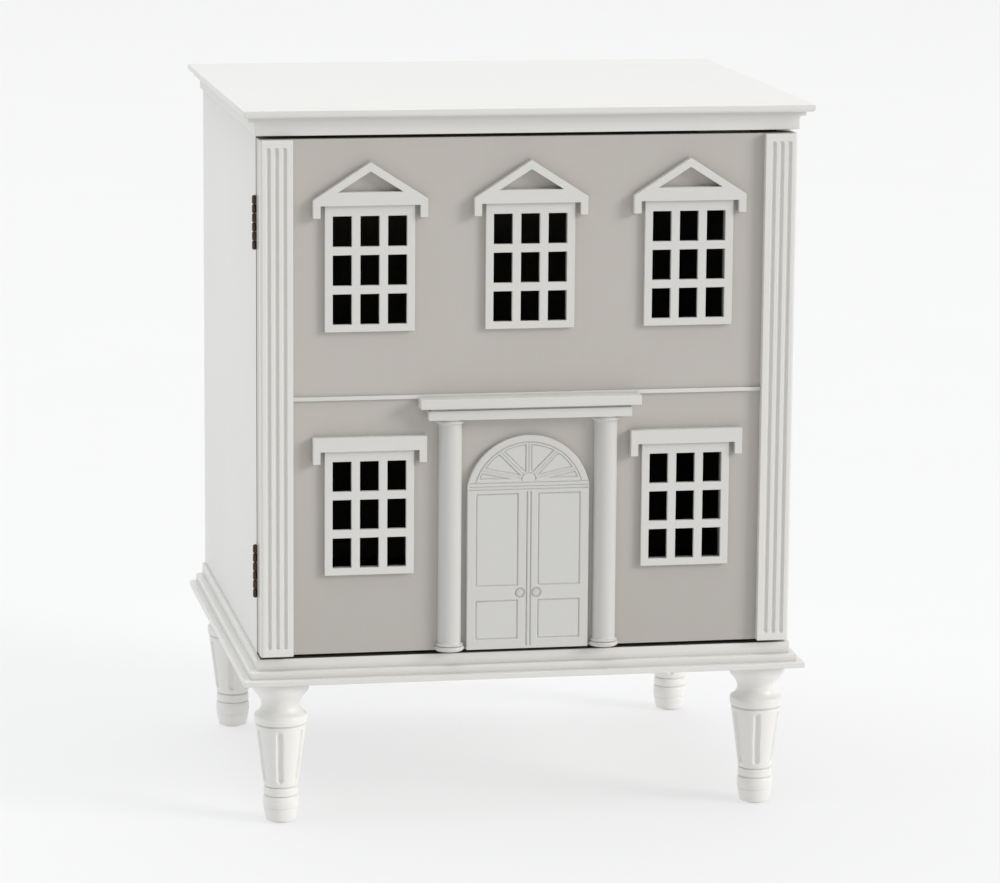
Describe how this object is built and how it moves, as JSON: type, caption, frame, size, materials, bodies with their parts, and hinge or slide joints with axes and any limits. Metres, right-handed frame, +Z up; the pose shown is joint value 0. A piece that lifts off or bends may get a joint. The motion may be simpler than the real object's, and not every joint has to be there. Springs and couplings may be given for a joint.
{
  "type": "dollhouse bedside cabinet",
  "caption": "White painted wooden cabinet made like a town house, with a hinged grey facade, barred windows and turned legs.",
  "frame": {"origin": "floor level under the middle of the bounding box: X centred on the cabinet, Y midway between its back and the front of the porch roof", "axes": "+Z up, -Y towards the viewer at the house front, +X to the right of the facade"},
  "size_m": [0.5598, 0.478, 0.7046],
  "materials": {
    "white_paint": "satin white paint on wood",
    "facade_grey_paint": "satin warm grey paint on wood",
    "charcoal_paint": "matt charcoal paint on wood",
    "beech": "plain turned beech",
    "bronzed_steel": "bronzed steel",
    "zinc_steel": "bright zinc plate",
    "white_plastic": "moulded white plastic",
    "magnet_ferrite": "dark ferrite magnet with pole plates",
    "nylon": "natural nylon",
    "bumper_rubber": "soft clear rubber"
  },
  "bodies": {
    "cabinet": {"top_slab": "white_paint", "cornice_board": "white_paint", "frieze_board": "white_paint", "left_side": "white_paint", "right_side": "white_paint", "back_panel": "charcoal_paint", "middle_floor": "charcoal_paint", "base_step_board": "white_paint", "base_tier_board": "white_paint", "base_nose_board": "white_paint", "dowels": "beech", "leg_front_left": "white_paint", "leg_front_right": "white_paint", "leg_back_left": "white_paint", "leg_back_right": "white_paint", "leg_screws": "zinc_steel", "foot_glides": "nylon", "hinge_upper_side_leaf": "bronzed_steel", "hinge_lower_side_leaf": "bronzed_steel", "hinge_upper_pin": "bronzed_steel", "hinge_lower_pin": "bronzed_steel", "hinge_side_screws": "bronzed_steel", "catch_housing": "white_plastic", "catch_magnet": "magnet_ferrite", "catch_screws": "zinc_steel"},
    "door": {"door_panel": "facade_grey_paint", "pilaster_left": "white_paint", "pilaster_right": "white_paint", "string_course": "white_paint", "window_upper_left": "white_paint", "window_upper_centre": "white_paint", "window_upper_right": "white_paint", "window_lower_left": "white_paint", "window_lower_right": "white_paint", "hood_upper_left": "white_paint", "hood_upper_centre": "white_paint", "hood_upper_right": "white_paint", "hood_lower_left": "white_paint", "hood_lower_right": "white_paint", "column_left": "white_paint", "column_right": "white_paint", "porch_upper_slab": "white_paint", "porch_lower_slab": "white_paint", "entrance_board": "white_paint", "hinge_upper_door_leaf": "bronzed_steel", "hinge_lower_door_leaf": "bronzed_steel", "hinge_door_screws": "bronzed_steel", "catch_strike": "zinc_steel", "strike_screws": "zinc_steel", "door_bumpers": "bumper_rubber"}
  },
  "joints": [
    {"name": "door_hinge", "type": "hinge", "parent": "cabinet", "child": "door", "pos_m": [-0.2649, -0.1993, 0.4245], "axis": [0, 0, -1], "range_deg": [0, 180]}
  ]
}
